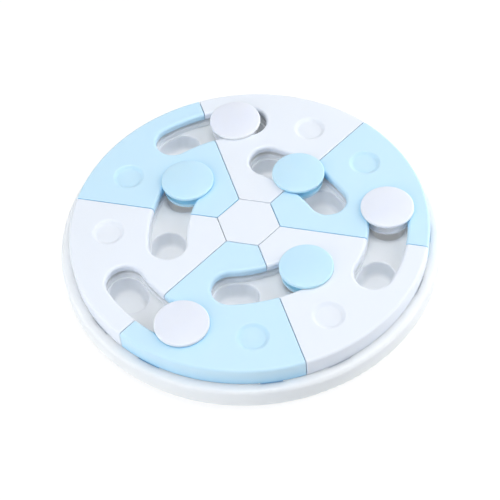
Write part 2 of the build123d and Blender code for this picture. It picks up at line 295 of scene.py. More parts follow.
def settled_dust() -> bpy.types.NodeTree:
    """Specks of dust and crumbs' powder on what faces upwards.

    Returns:
        The group. It puts out a mask.
    """
    tree, start, end = new_group(
        "settled_dust",
        {"Mask": FLOAT},
        {
            "Vector": VECTOR,
            "Normal": ("NodeSocketVector", (0.0, 0.0, 1.0)),
            "Speck Scale": (FLOAT, 1100.0),
            "Amount": (FLOAT, 0.06),
        },
    )
    place = start.outputs["Vector"]
    split = tree.add("ShaderNodeSeparateXYZ", start.outputs["Normal"])
    upward = tree.ramp(split.outputs["Z"], Band.FACING_UP.value)
    spots = tree.noise(place, start.outputs["Speck Scale"], detail=1.0)
    specks = tree.ramp(spots, Band.SPECK.value)
    patch_scale, thinnest = 30.0, 0.15
    cloud = tree.noise(place, patch_scale)
    patches = tree.ramp(cloud, Band.DUST_PATCH.value, (thinnest, 1.0))
    mask = tree.math("MULTIPLY", tree.math("MULTIPLY", specks, patches), upward)
    tree.feed(end, Mask=tree.math("MULTIPLY", mask, start.outputs["Amount"]))
    return tree.tree


def slide_polish() -> bpy.types.NodeTree:
    """Band that a sliding knob rubs smooth, along a circle about a vertical axis.

    Returns:
        The group. It puts out a mask, 1 in the middle of the band.
    """
    tree, start, end = new_group(
        "slide_polish",
        {"Mask": FLOAT},
        {
            "Vector": VECTOR,
            "Centre": VECTOR,
            "Radius": (FLOAT, 0.1),
            "Half Width": (FLOAT, 0.01),
        },
    )
    kind = "ShaderNodeVectorMath"
    away = tree.math("SUBTRACT", start.outputs["Vector"], start.outputs["Centre"], kind=kind)
    reach = tree.math("LENGTH", tree.math("MULTIPLY", away, (1.0, 1.0, 0.0), kind=kind), kind=kind)
    off = tree.math("ABSOLUTE", tree.math("SUBTRACT", reach, start.outputs["Radius"]))
    share = tree.math("DIVIDE", off, start.outputs["Half Width"])
    streak_scale, faintest = 2400.0, 0.4
    lines = tree.noise(reach, streak_scale, detail=1.0)
    streaks = tree.ramp(lines, Band.STREAK.value, (faintest, 1.0))
    band = tree.ramp(share, Band.RUBBED_EDGE.value, FALLING)
    tree.feed(end, Mask=tree.math("MULTIPLY", band, streaks))
    return tree.tree


def painted_recess_colour() -> bpy.types.NodeTree:
    """Painted light and shade in recesses and seams: the colour turns toward a set tint where
    ambient occlusion finds the space in front closed in, in place of light bounced in and through
    thin tinted plastic.

    Returns:
        The group. It puts out the colour.
    """
    tree, start, end = new_group(
        "painted_recess_colour",
        {"Colour": COLOUR},
        {
            "Colour": GREY,
            "Rich Colour": DARKER_GREY,
            "Openness": (FLOAT, 1.0),
            "Open At": (FLOAT, 0.95),
        },
    )
    # Painted light and shade: the full recess tint where little is open, none where the space in
    # front is open.
    full_at = 0.25
    share = tree.ramp(start.outputs["Openness"], (full_at, start.outputs["Open At"]), FALLING)
    tree.feed(end, Colour=tree.blend(share, start.outputs["Colour"], start.outputs["Rich Colour"]))
    return tree.tree


def fine_scuffs() -> bpy.types.NodeTree:
    """Short hair scratches that handling leaves in a satin skin.

    Returns:
        The group. It puts out a mask.
    """
    tree, start, end = new_group(
        "fine_scuffs",
        {"Mask": FLOAT},
        {"Vector": VECTOR, "Scale": (FLOAT, 60.0), "Amount": (FLOAT, 0.5)},
    )
    masks = []
    lays = ((0.5, 9.0), (2.1, 13.0))
    for turn, stretch in lays:
        lay = tree.add(
            "ShaderNodeMapping",
            Vector=start.outputs["Vector"],
            Rotation=(0.0, 0.0, turn),
            Scale=(1.0, stretch, 1.0),
        )
        lines = tree.noise(lay.outputs["Vector"], start.outputs["Scale"], detail=5.0)
        masks.append(tree.ramp(lines, Band.SCRATCH.value))
    both = tree.math("MAXIMUM", *masks)
    tree.feed(end, Mask=tree.math("MULTIPLY", both, start.outputs["Amount"]))
    return tree.tree


@dataclass(frozen=True)
class Effects:
    """The shared shader groups, built once."""

    grain: bpy.types.NodeTree = field(default_factory=moulding_grain)
    drift: bpy.types.NodeTree = field(default_factory=pigment_drift)
    dust: bpy.types.NodeTree = field(default_factory=settled_dust)
    polish: bpy.types.NodeTree = field(default_factory=slide_polish)
    recess_paint: bpy.types.NodeTree = field(default_factory=painted_recess_colour)
    scuffs: bpy.types.NodeTree = field(default_factory=fine_scuffs)


# ---------------------------------------------------------------- finishes
class Tint(Enum):
    """Colours of the stock and of the painted light and shade in recesses, as linear red, green and
    blue.
    """

    WHITE = (0.800, 0.848, 0.943)
    DENSE_WHITE = (0.776, 0.828, 0.928)
    # Painted light: lighter white that the white panels take in their recesses and seams.
    PAINTED_LIGHT_WHITE = (0.840, 0.890, 0.980)
    KNOB_WHITE = (0.776, 0.813, 0.942)
    DENSE_KNOB_WHITE = (0.753, 0.791, 0.924)
    TRAY_WHITE = (0.808, 0.856, 0.985)
    DENSE_TRAY_WHITE = (0.793, 0.844, 0.976)
    # Painted light: lighter white that the tray takes in its wells, channels and other recesses.
    PAINTED_LIGHT_TRAY_WHITE = (0.880, 0.945, 1.000)
    PALE_BLUE = (0.583, 0.800, 1.000)
    DENSE_BLUE = (0.550, 0.782, 0.995)
    KNOB_BLUE = (0.560, 0.785, 1.000)
    DENSE_KNOB_BLUE = (0.530, 0.765, 0.995)
    # Painted shade: darker, richer blue that the blue panels take in their recesses and seams.
    PAINTED_SHADE_BLUE = (0.300, 0.670, 1.000)
    # Painted bounce light: more saturated blue that the blue knobs take under their caps and in
    # other recesses.
    PAINTED_BOUNCE_KNOB_BLUE = (0.480, 0.810, 1.000)
    # Painted light: lighter white that the white knobs take under their caps and in other recesses.
    PAINTED_LIGHT_KNOB_WHITE = (0.960, 0.980, 1.000)
    ZINC = (0.560, 0.570, 0.590)
    DULL_ZINC = (0.420, 0.420, 0.410)
    PAD_GREY = (0.500, 0.520, 0.540)
    # Denser pigment of the feet, and also the painted shade in their recesses.
    DENSE_AND_PAINTED_SHADE_GREY = (0.430, 0.450, 0.470)
    DUST = (0.620, 0.600, 0.560)


def place_group(
    tree: NodeTree, group: bpy.types.NodeTree, place: Socket, **values: Value
) -> bpy.types.Node:
    """Places a shared effect in a material.

    Args:
        tree: The material's tree.
        group: The effect.
        place: The point that it reads.
        values: Its own values, with underscores for spaces in a socket's name.

    Returns:
        The group's node.
    """
    return tree.add("ShaderNodeGroup", settings={"node_tree": group}, Vector=place, **values)


def start_material(name: str) -> tuple[bpy.types.Material, NodeTree, Socket, bpy.types.Node]:
    """Starts a material with its surface shader.

    Args:
        name: Name of the material.

    Returns:
        The material, its tree, the socket of the point on the piece, and the surface shader.
    """
    made = bpy.data.materials.new(name)
    tree = cleared(made)
    place = tree.add("ShaderNodeTexCoord").outputs["Object"]
    shader = tree.add("ShaderNodeBsdfPrincipled")
    tree.add("ShaderNodeOutputMaterial", shader.outputs["BSDF"])
    return made, tree, place, shader


def lay_skin(
    tree: NodeTree,
    shader: bpy.types.Node,
    grain: bpy.types.Node,
    rough: float,
    more: Sequence[tuple[bpy.types.Node, float]],
) -> None:
    """Gives a surface shader its grain and its roughness.

    Args:
        tree: The material's tree.
        shader: The surface shader.
        grain: The grain's node.
        rough: Roughness of the clean skin.
        more: Masks that change the roughness, each with how much it adds.
    """
    total = tree.math("ADD", grain.outputs["Roughness Shift"], rough)
    for mask, amount in more:
        total = tree.math("ADD", total, tree.math("MULTIPLY", mask.outputs["Mask"], amount))
    bump = tree.add("ShaderNodeBump", Distance=1.0, Height=grain.outputs["Height"])
    tree.feed(shader, Roughness=total, Normal=bump.outputs["Normal"])


@dataclass(frozen=True)
class MouldedPlastic:
    """Satin moulded plastic that lets a little light through.

    Attributes:
        name: Name of the material.
        tint: Its colour.
        dense: Its colour where the pigment is denser.
        painted_recess_tint: Colour painted in recesses and seams as light and shade, placed by
            ambient occlusion.
        recess: How near other surfaces are in a recess, in metres; the reach of the ambient
            occlusion that places the painted light and shade.
        open_at: How much of the space in front is open where the painted recess light and shade
            ends.
        roughness: Roughness of the clean skin.
        grain_height: Depth of the grain, in metres.
        glow: Share of light that goes into the plastic.
        depth: How far light goes into the plastic, in metres.
        warmth: How far red, green and blue light go, as shares of the depth.
        dust: How much dust lies on it.
        scuffs: How strong its hair scratches are.
        slide_centres: Centres of the arcs that the knobs rub, in metres.
        slide_radius: Radius of those arcs, in metres.
        slide_half_width: Half the width of the rubbed bands, in metres.
        scuff_roughness: How much rougher a full scratch is.
        polish: How much smoother the middle of a rubbed band is.
        bending: Index of refraction.
        feelers: Ambient occlusion rays that tell how open the space in front is, for the painted
            recess light and shade.
    """

    name: str
    tint: Tint
    dense: Tint
    painted_recess_tint: Tint
    recess: float = 0.008
    open_at: float = 0.95
    roughness: float = 0.40
    grain_height: float = 0.000005
    glow: float = 0.6
    depth: float = 0.0018
    warmth: Colour = (1.0, 0.97, 0.93)
    dust: float = 0.05
    scuffs: float = 0.25
    slide_centres: tuple[Point, ...] = ()
    slide_radius: float = 0.0
    slide_half_width: float = 0.0
    scuff_roughness: float = 0.12
    polish: float = 0.07
    bending: float = 1.48
    feelers: int = 6

    def material(self, effects: Effects) -> bpy.types.Material:
        """Builds the material.

        Args:
            effects: The shared shader groups.

        Returns:
            The finished material.
        """
        made, tree, place, shader = start_material(self.name)
        tints = {"Colour": self.tint.value, "Dense_Colour": self.dense.value}
        colour = place_group(tree, effects.drift, place, **tints)
        facing = tree.add("ShaderNodeNewGeometry").outputs["Normal"]
        dust = place_group(tree, effects.dust, place, Amount=self.dust, Normal=facing)
        # Ambient occlusion places painted light and shade in recesses: darker on the blue panels
        # and feet, lighter on white parts, more saturated on blue knobs.
        rays = {"samples": self.feelers}
        shelter = tree.add("ShaderNodeAmbientOcclusion", settings=rays, Distance=self.recess)
        recess_paint = tree.add(
            "ShaderNodeGroup",
            settings={"node_tree": effects.recess_paint},
            Colour=colour.outputs["Colour"],
            Rich_Colour=self.painted_recess_tint.value,
            Openness=shelter.outputs["AO"],
            Open_At=self.open_at,
        )
        dusted = tree.blend(dust.outputs["Mask"], recess_paint.outputs["Colour"], Tint.DUST.value)
        grain = place_group(tree, effects.grain, place, Grain_Height=self.grain_height)
        scuffs = place_group(tree, effects.scuffs, place, Amount=self.scuffs)
        more = [(scuffs, self.scuff_roughness), (dust, 1.0)]
        band = {"Radius": self.slide_radius, "Half_Width": self.slide_half_width}
        for centre in self.slide_centres:
            rubbed = place_group(tree, effects.polish, place, Centre=centre, **band)
            more.append((rubbed, -self.polish))
        lay_skin(tree, shader, grain, self.roughness, more)
        tree.feed(
            shader,
            Base_Color=dusted,
            IOR=self.bending,
            Subsurface_Weight=self.glow,
            Subsurface_Radius=self.warmth,
            Subsurface_Scale=self.depth,
        )
        return made


@dataclass(frozen=True)
class PlatedSteel:
    """Zinc-plated steel of the screws.

    Attributes:
        name: Name of the material.
        tint: Colour of the bright plating.
        dull: Colour where the plating has dulled.
        roughness: Roughness of the bright plating.
        scuff_roughness: How much rougher a full scratch is.
        blotch_scale: Dull blotches to a metre.
        blotches: How dull a full blotch is.
        pit_scale: Pits to a metre.
        pit_depth: Depth of the pits, in metres.
        wave_scale: Slow waves to a metre.
        scratch_scale: Scratches to a metre.
        scratches: How strong the scratches are.
    """

    name: str
    tint: Tint
    dull: Tint
    roughness: float = 0.30
    scuff_roughness: float = 0.25
    blotch_scale: float = 420.0
    blotches: float = 0.6
    pit_scale: float = 6000.0
    pit_depth: float = 0.000004
    wave_scale: float = 500.0
    scratch_scale: float = 700.0
    scratches: float = 0.5

    def material(self, effects: Effects) -> bpy.types.Material:
        """Builds the material.

        Args:
            effects: The shared shader groups.

        Returns:
            The finished material.
        """
        made, tree, place, shader = start_material(self.name)
        tints = {"Colour": self.tint.value, "Dense_Colour": self.dull.value}
        dulled = {"Scale": self.blotch_scale, "Amount": self.blotches}
        colour = place_group(tree, effects.drift, place, **tints, **dulled)
        pits = {"Grain_Scale": self.pit_scale, "Grain_Height": self.pit_depth}
        grain = place_group(tree, effects.grain, place, **pits, Wave_Scale=self.wave_scale)
        hairs = {"Scale": self.scratch_scale, "Amount": self.scratches}
        scuffs = place_group(tree, effects.scuffs, place, **hairs)
        lay_skin(tree, shader, grain, self.roughness, [(scuffs, self.scuff_roughness)])
        tree.feed(shader, Base_Color=colour.outputs["Colour"], Metallic=1.0)
        return made


def dress(piece: bpy.types.Object, material: bpy.types.Material) -> None:
    """Puts one material in every slot of a piece.

    Args:
        piece: The piece to dress.
        material: The finish it takes.
    """
    if not piece.material_slots:
        piece.data.materials.append(material)
    for slot in piece.material_slots:
        slot.material = material


# ---------------------------------------------------------------- turned shapes
@dataclass
class Outline:
    """Half section of a turned piece, in millimetres of radius and height.

    Attributes:
        corners: Radius, height and rounding of each corner, in order.
        steps: Chords in a quarter turn of a rounding.
        margin: Most that a flat's close point stands off its rounding.
        room: Least length of a flat that gets a close point, in margins.
    """

    corners: list[tuple[float, float, float]] = field(default_factory=list)
    steps: int = 6
    margin: float = 0.25
    room: float = 3.0

    def to(self, radius: float, height: float, rounding: float = 0.0) -> "Outline":
        """Adds a corner and returns the outline itself."""
        self.corners.append((radius, height, rounding))
        return self

    def points(self) -> list[Vector]:
        """Rounds the corners.

        Returns:
            The outline's points, with one close on each side of every rounding to keep flats flat.
        """
        made: list[Vector] = []
        count = len(self.corners)
        for n, (radius, height, rounding) in enumerate(self.corners):
            here = Vector((radius, height))
            if rounding <= 0.0:
                made.append(here)
                continue
            before = Vector(self.corners[(n - 1) % count][:2]) - here
            after = Vector(self.corners[(n + 1) % count][:2]) - here
            made += self.arc(here, before, after, rounding)
        return made

    def arc(self, here: Vector, before: Vector, after: Vector, rounding: float) -> list[Vector]:
        """Points of one rounded corner.

        Args:
            here: The corner.
            before: From the corner to the one before it.
            after: From the corner to the one after it.
            rounding: Radius of the rounding.

        Returns:
            The points from one straight side to the other.
        """
        first, second = before.normalized(), after.normalized()
        half = math.acos(max(-1.0, min(1.0, first.dot(second)))) / 2
        reach = rounding / math.tan(half)
        middle = here + (first + second).normalized() * (rounding / math.sin(half))
        start = here + first * reach - middle
        sweep = math.pi - 2 * half
        sign = 1.0 if start.cross(here + second * reach - middle) > 0 else -1.0
        steps = max(2, round(self.steps * sweep / (math.pi / 2)))
        turns = [sign * sweep * k / steps for k in range(steps + 1)]
        made = [middle + Matrix.Rotation(turn, 2) @ start for turn in turns]
        margin = min(self.margin, rounding / 2)
        if before.length > reach + self.room * margin:
            made.insert(0, made[0] + first * margin)
        if after.length > reach + self.room * margin:
            made.append(made[-1] + second * margin)
        return made


def as_mesh(shape: bmesh.types.BMesh, name: str) -> bpy.types.Mesh:
    """Writes a shape to a new mesh, and frees it.

    Args:
        shape: The shape.
        name: Name of the mesh.

    Returns:
        The mesh.
    """
    mesh = bpy.data.meshes.new(name)
    shape.to_mesh(mesh)
    shape.free()
    return mesh


def skin_rings(
    name: str,
    outline: Sequence[Vector],
    sides: int,
    closed: bool,
    radius_at: Callable[[float, float, float], float] | None = None,
) -> bpy.types.Mesh:
    """Turns an outline about the vertical axis.

    Args:
        name: Name of the mesh.
        outline: Points of radius and height, in millimetres.
        sides: How many sides a full turn has.
        closed: Whether the outline is a closed loop.
        radius_at: Radius from the outline's radius, the height and the angle, for threads.

    Returns:
        The closed mesh, in metres, with its faces pointing outwards.
    """
    shape = bmesh.new()
    rings: list[list[bmesh.types.BMVert]] = []
    for radius, height in outline:
        if radius < ON_AXIS:
            rings.append([shape.verts.new((0.0, 0.0, height * MM))])
            continue
        ring = []
        for k in range(sides):
            turn = 2 * math.pi * k / sides
            reach = radius_at(radius, height, turn) if radius_at else radius
            x, y = reach * math.cos(turn), reach * math.sin(turn)
            ring.append(shape.verts.new((x * MM, y * MM, height * MM)))
        rings.append(ring)
    pairs = list(zip(rings, rings[1:])) + ([(rings[-1], rings[0])] if closed else [])
    for low, high in pairs:
        for k in range(sides):
            after = (k + 1) % sides
            corners = [low[k % len(low)], low[after % len(low)]]
            corners += [high[after % len(high)], high[k % len(high)]]
            unique = list(dict.fromkeys(corners))
            if len(unique) > 2:
                shape.faces.new(unique)
    bmesh.ops.recalc_face_normals(shape, faces=shape.faces)
    mesh = as_mesh(shape, name)
    smooth(mesh)
    return mesh


def smooth(mesh: bpy.types.Mesh, degrees: float = 34.0) -> None:
    """Shades a mesh smooth, with creases kept sharp.

    Args:
        mesh: The mesh.
        degrees: Least angle of a crease.
    """
    mesh.polygons.foreach_set("use_smooth", [True] * len(mesh.polygons))
    mesh.set_sharp_from_angle(angle=math.radians(degrees))


def new_object(name: str, data: bpy.types.ID) -> bpy.types.Object:
    """Makes an object at the origin and links it to the scene.

    Args:
        name: Name of the object.
        data: Its mesh, lamp or camera.

    Returns:
        The object.
    """
    made = bpy.data.objects.new(name, data)
    bpy.context.scene.collection.objects.link(made)
    return made


def baked(thing: bpy.types.Object, name: str) -> bpy.types.Mesh:
    """Turns an object with modifiers into a plain mesh, and removes the object.

    Args:
        thing: The object.
        name: Name of the new mesh.

    Returns:
        The plain mesh.
    """
    bpy.context.view_layer.update()
    graph = bpy.context.evaluated_depsgraph_get()
    mesh = bpy.data.meshes.new_from_object(thing.evaluated_get(graph), depsgraph=graph)
    mesh.name = name
    thing.modifiers.clear()
    bpy.data.objects.remove(thing)
    return mesh


def joined(name: str, meshes: Iterable[bpy.types.Mesh]) -> bpy.types.Mesh:
    """Joins meshes into one.

    Args:
        name: Name of the new mesh.
        meshes: The meshes to join.

    Returns:
        The new mesh.
    """
    shape = bmesh.new()
    for mesh in meshes:
        shape.from_mesh(mesh)
    made = as_mesh(shape, name)
    smooth(made)
    return made


# ---------------------------------------------------------------- repeats round the board
def ring_of_pieces() -> bpy.types.NodeTree:
    """Geometry tree that repeats the incoming piece round the vertical axis.

    Returns:
        The tree, with inputs for the count, the radius, the first angle and the material.
    """
    tree, start, end = new_group(
        "ring_of_pieces",
        {"Geometry": "NodeSocketGeometry"},
        {
            "Geometry": ("NodeSocketGeometry", None),
            "Count": ("NodeSocketInt", 6),
            "Radius": (FLOAT, 0.1),
            "First Angle": (FLOAT, 0.0),
            "Material": ("NodeSocketMaterial", None),
        },
        "GeometryNodeTree",
    )
    count, radius = start.outputs["Count"], start.outputs["Radius"]
    step = tree.math("DIVIDE", 2 * math.pi, count)
    index = tree.add("GeometryNodeInputIndex")
    turn = tree.math("MULTIPLY", index.outputs[0], step)
    turn = tree.math("ADD", turn, start.outputs["First Angle"])
    spot = tree.add(
        "ShaderNodeCombineXYZ",
        X=tree.math("MULTIPLY", tree.math("COSINE", turn), radius),
        Y=tree.math("MULTIPLY", tree.math("SINE", turn), radius),
    )
    angles = tree.add("ShaderNodeCombineXYZ", Z=turn)
    facing = tree.add("FunctionNodeEulerToRotation", angles.outputs[0])
    spots = tree.add("GeometryNodePoints", Count=count, Position=spot.outputs[0])
    copies = tree.add(
        "GeometryNodeInstanceOnPoints",
        Points=spots.outputs[0],
        Instance=start.outputs["Geometry"],
        Rotation=facing.outputs[0],
    )
    real = tree.add("GeometryNodeRealizeInstances", copies.outputs[0]).outputs[0]
    finish = tree.add("GeometryNodeSetMaterial", Geometry=real, Material=start.outputs["Material"])
    tree.feed(end, finish.outputs[0])
    return tree.tree


def repeat_round(
    tree: bpy.types.NodeTree,
    piece: bpy.types.Mesh,
    count: int,
    radius: float,
    first: float,
    material: bpy.types.Material,
) -> bpy.types.Mesh:
    """Repeats a piece round the vertical axis.

    Args:
        tree: The geometry tree that does it.
        piece: The piece, built about the axis.
        count: How many copies.
        radius: How far out they stand, in millimetres.
        first: Angle of the first one, in degrees.
        material: The finish they take.

    Returns:
        One plain mesh of all the copies.
    """
    carrier = new_object("carrier", piece.copy())
    made = carrier.modifiers.new("ring", "NODES")
    made.node_group = tree
    values = {
        "Count": count,
        "Radius": radius * MM,
        "First Angle": math.radians(first),
        "Material": material,
    }
    for item in tree.interface.items_tree:
        if item.item_type == "SOCKET" and item.in_out == "INPUT" and item.name in values:
            made[item.identifier] = values[item.name]
    return baked(carrier, f"{piece.name}_ring")


# ---------------------------------------------------------------- screws
class HeadKind(Enum):
    """Shapes of a screw's head."""

    PAN = "pan"
    COUNTERSUNK = "countersunk"


@dataclass(frozen=True)
class Screw:
    """Self-tapping screw, head down, with a cross recess.

    Attributes:
        kind: Shape of its head.
        foot: Height of the head's outer face, in millimetres.
        tip: Height of the point.
        head_radius: Radius of the head.
        head_height: Height of the head.
        pan_round: Rounding of a pan head's outer edge.
        edge_round: Rounding of the head's sharp edge.
        neck_round: Rounding between head and thread.
        crest: Radius over the thread.
        root: Radius under the thread.
        pitch: Rise of the thread in one turn.
        point: Length of the plain point.
        run_in: Height over which the thread starts.
        ridge: Half the width of the thread's ridge, as a share of the pitch.
        sides: Sides of a full turn.
        turn_steps: Rings in one turn of the thread.
        head_steps: Chords in a quarter turn of the head's roundings.
        tip_rings: Rings of the point, as shares of the root radius and distances below the tip.
        overrun: How far the thread goes on over the point.
        run_out: Share of the thread's height that is left at its end.
        slack: Tolerance when the threaded points are told from the others.
        recess_length: Length of the cross recess.
        recess_width: Width of the recess's arms.
        recess_depth: Depth of the recess.
        recess_mouth: Levels at the recess's mouth, as height over the face and share of its size.
        recess_floor: Size of the recess's floor, as a share of its mouth's.
    """

    kind: HeadKind
    foot: float
    tip: float
    head_radius: float = 2.8
    head_height: float = 1.9
    pan_round: float = 0.8
    edge_round: float = 0.12
    neck_round: float = 0.1
    crest: float = 1.4
    root: float = 1.02
    pitch: float = 1.0
    point: float = 1.0
    run_in: float = 0.5
    ridge: float = 0.22
    sides: int = 24
    turn_steps: int = 10
    head_steps: int = 4
    tip_rings: tuple[tuple[float, float], ...] = ((0.75, 0.5), (0.3, 0.05), (0.0, 0.0))
    overrun: float = 0.1
    run_out: float = 0.3
    slack: float = 0.01
    recess_length: float = 3.0
    recess_width: float = 0.8
    recess_depth: float = 1.1
    recess_mouth: tuple[tuple[float, float], ...] = ((-0.5, 1.0), (0.1, 0.97))
    recess_floor: float = 0.55

    def outline(self) -> list[Vector]:
        """Half section from the head's face up to the point.

        Returns:
            Its points.
        """
        neck = self.foot + self.head_height
        head = Outline(steps=self.head_steps).to(0.0, self.foot)
        if self.kind is HeadKind.PAN:
            head.to(self.head_radius, self.foot, self.pan_round)
            head.to(self.head_radius, neck, self.edge_round)
        else:
            head.to(self.head_radius, self.foot, self.edge_round)
        head.to(self.crest, neck, self.neck_round)
        made = head.points()[:-1] if self.kind is HeadKind.COUNTERSUNK else head.points()
        steps = int((self.tip - neck - self.point) / self.pitch * self.turn_steps)
        start = neck + self.neck_round
        rise = self.tip - neck - self.point - self.neck_round
        made += [Vector((self.crest, start + rise * k / steps)) for k in range(steps + 1)]
        for share, below in self.tip_rings:
            made.append(Vector((self.root * share, self.tip - below)))
        return made

    def radius_at(self, radius: float, height: float, turn: float) -> float:
        """Radius of the threaded shank.

        Args:
            radius: The outline's radius, in millimetres.
            height: The height, in millimetres.
            turn: The angle, in radians.

        Returns:
            The radius at that height and angle, in millimetres.
        """
        neck = self.foot + self.head_height
        start, end = neck + self.run_in, self.tip - self.point + self.overrun
        threaded = neck + self.neck_round / 2 <= height <= end + self.slack
        if not threaded or radius > self.crest + self.slack:
            return radius
        phase = ((height - start) / self.pitch - turn / (2 * math.pi)) % 1.0
        peak = max(0.0, 1.0 - abs(phase - 0.5) / self.ridge)
        begun, left = (height - start) / self.pitch, (end - height) / self.pitch + self.run_out
        return self.root + (self.crest - self.root) * peak * max(0.0, min(1.0, begun, left))

    def mesh(self, name: str) -> bpy.types.Mesh:
        """Builds the screw about the vertical axis.

        Args:
            name: Name of the mesh.

        Returns:
            The closed mesh.
        """
        body = new_object(name, skin_rings(name, self.outline(), self.sides, False, self.radius_at))
        tool = new_object("recess", self.recess())
        cut = body.modifiers.new("recess", "BOOLEAN")
        cut.object = tool
        cut.operation = "DIFFERENCE"
        cut.solver = "EXACT"
        made = baked(body, name)
        bpy.data.objects.remove(tool)
        smooth(made)
        return made

    def recess(self) -> bpy.types.Mesh:
        """Builds the cross-shaped cutter, which narrows upwards.

        Returns:
            Its closed mesh.
        """
        long, wide = self.recess_length / 2, self.recess_width / 2
        loop = [
            (x * math.cos(q) - y * math.sin(q), x * math.sin(q) + y * math.cos(q))
            for q in (math.pi / 2 * k for k in range(4))
            for x, y in ((wide, wide), (wide, long), (-wide, long))
        ]
        shape = bmesh.new()
        levels = (*self.recess_mouth, (self.recess_depth, self.recess_floor))
        rings = []
        for rise, share in levels:
            level = (self.foot + rise) * MM
            spots = [(x * share * MM, y * share * MM, level) for x, y in loop]
            rings.append([shape.verts.new(spot) for spot in spots])
        for low, high in zip(rings, rings[1:]):
            for k in range(len(loop)):
                after = (k + 1) % len(loop)
                shape.faces.new((low[k], low[after], high[after], high[k]))
        shape.faces.new(reversed(rings[0]))
        shape.faces.new(rings[-1])
        bmesh.ops.recalc_face_normals(shape, faces=shape.faces)
        return as_mesh(shape, "recess")


@dataclass(frozen=True)
class BoardScrews:
    """The twelve screws of the panels and the one of the hub plate.

    Attributes:
        shape: One screw.
        near_count: How many near screws there are.
        near_reach: How far out they stand, in millimetres.
        far_count: How many far screws there are on each side of the seams.
        far_reach: How far out they stand.
        far_off_seam: How far the far screws stand off their seam.
        first_seam: Angle of the first outer seam, in degrees.
    """

    shape: Screw = Screw(HeadKind.PAN, foot=12.0, tip=26.9)
    near_count: int = 6
    near_reach: float = 27.0
    far_count: int = 3
    far_reach: float = 60.0
    far_off_seam: float = 8.4
    first_seam: float = 90.0

    def build(self, ring: bpy.types.NodeTree, steel: bpy.types.Material) -> None:
        """Builds and places the screws.

        Args:
            ring: The geometry tree that repeats them.
            steel: Their finish.
        """
        one = self.shape.mesh("board_screw")
        turn = math.degrees(math.asin(self.far_off_seam / self.far_reach))
        rings = [repeat_round(ring, one, self.near_count, self.near_reach, 0.0, steel)]
        for first in (self.first_seam - turn, self.first_seam + turn):
            rings.append(repeat_round(ring, one, self.far_count, self.far_reach, first, steel))
        screws = new_object("panel_screw_set", joined("panel_screw_set", rings))
        finish_piece(screws, "base", ["panel_screws"], steel)
        hub = new_object("hub_plate_screw", one)
        finish_piece(hub, "base", ["hub_screw"], steel)


def finish_piece(
    piece: bpy.types.Object,
    body: str,
    nodes: Sequence[str],
    material: bpy.types.Material,
) -> None:
    """Dresses a piece, ties it to the body it moves with, and hides the nodes that it stands for.

    Args:
        piece: The piece.
        body: The body it moves with.
        nodes: The nodes it replaces.
        material: Its finish.
    """
    piece.data.materials.clear()
    dress(piece, material)
    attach(piece, body)
    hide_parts(*nodes)
    log.info("built %s on %s", piece.name, body)


# ---------------------------------------------------------------- feet
@dataclass(frozen=True)
class Foot:
    """Soft round foot with a grooved sole and a ridged plug.

    Attributes:
        radius: Radius of the pad, in millimetres.
        height: Height of the pad.
        edge_round: Rounding of the sole's edge.
        groove_radii: Radii of the sole's grooves.
        groove_depth: Depth of the grooves.
        groove_mouth: Half the width of a groove at the sole.
        groove_floor: Half the width of a groove's floor.
        plug_radius: Radius over the plug's ridges.
        plug_top: Height of the plug's top.
        ridge_levels: Heights where the plug's ridges start.
        ridge_size: How far a ridge stands out, and the rise of its sharp side.
        ridge_height: Height of a ridge.
        groove_round: Rounding of a groove's edges at the sole.
        rim_round: Rounding of the pad's upper edge, the plug's root and the ridges' crests.
        fine_round: Rounding of the grooves' floors and the ridges' roots.
        top_round: Rounding of the plug's top.
        round_steps: Chords in a quarter turn of a rounding.
        sides: Sides of a full turn.
    """

    radius: float = 9.0
    height: float = 2.0
    edge_round: float = 0.6
    groove_radii: tuple[float, ...] = (2.4, 4.4, 6.4)
    groove_depth: float = 0.45
    groove_mouth: float = 0.45
    groove_floor: float = 0.2
    plug_radius: float = 6.95
    plug_top: float = 8.0
    ridge_levels: tuple[float, ...] = (3.2, 4.8, 6.4)
    ridge_size: float = 0.35
    ridge_height: float = 0.9
    groove_round: float = 0.12
    rim_round: float = 0.15
    fine_round: float = 0.1
    top_round: float = 0.5
    round_steps: int = 5
    sides: int = 64

    def mesh(self) -> bpy.types.Mesh:
        """Builds the foot about the vertical axis.

        Returns:
            Its closed mesh.
        """
        section = Outline(steps=self.round_steps).to(0.0, 0.0)
        for groove in self.groove_radii:
            section.to(groove - self.groove_mouth, 0.0, self.groove_round)
            section.to(groove - self.groove_floor, self.groove_depth, self.fine_round)
            section.to(groove + self.groove_floor, self.groove_depth, self.fine_round)
            section.to(groove + self.groove_mouth, 0.0, self.groove_round)
        section.to(self.radius, 0.0, self.edge_round)
        section.to(self.radius, self.height, self.rim_round)
        neck = self.plug_radius - self.ridge_size
        section.to(neck, self.height, self.rim_round)
        for level in self.ridge_levels:
            section.to(neck, level, self.fine_round)
            section.to(self.plug_radius, level + self.ridge_size, self.rim_round)
            section.to(neck, level + self.ridge_height, self.fine_round)
        section.to(neck, self.plug_top, self.top_round).to(0.0, self.plug_top)
        return skin_rings("foot", section.points(), self.sides, False)


@dataclass(frozen=True)
class Feet:
    """The six feet under the tray.

    Attributes:
        shape: One foot.
        count: How many there are.
        circle: Radius that their centres stand on, in millimetres.
        first: Angle of the first foot, in degrees.
    """

    shape: Foot = Foot()
    count: int = 6
    circle: float = 105.0
    first: float = 30.0

    def build(self, ring: bpy.types.NodeTree, rubber: bpy.types.Material) -> None:
        """Builds and places the feet.

        Args:
            ring: The geometry tree that repeats them.
            rubber: Their finish.
        """
        mesh = repeat_round(ring, self.shape.mesh(), self.count, self.circle, self.first, rubber)
        smooth(mesh)
        nodes = [f"foot_{n + 1}" for n in range(self.count)]
        finish_piece(new_object("foot_set", mesh), "base", nodes, rubber)


# ---------------------------------------------------------------- knobs
class Ring(Enum):
    """The two rings of slots."""

    OUTER = "outer"
    INNER = "inner"


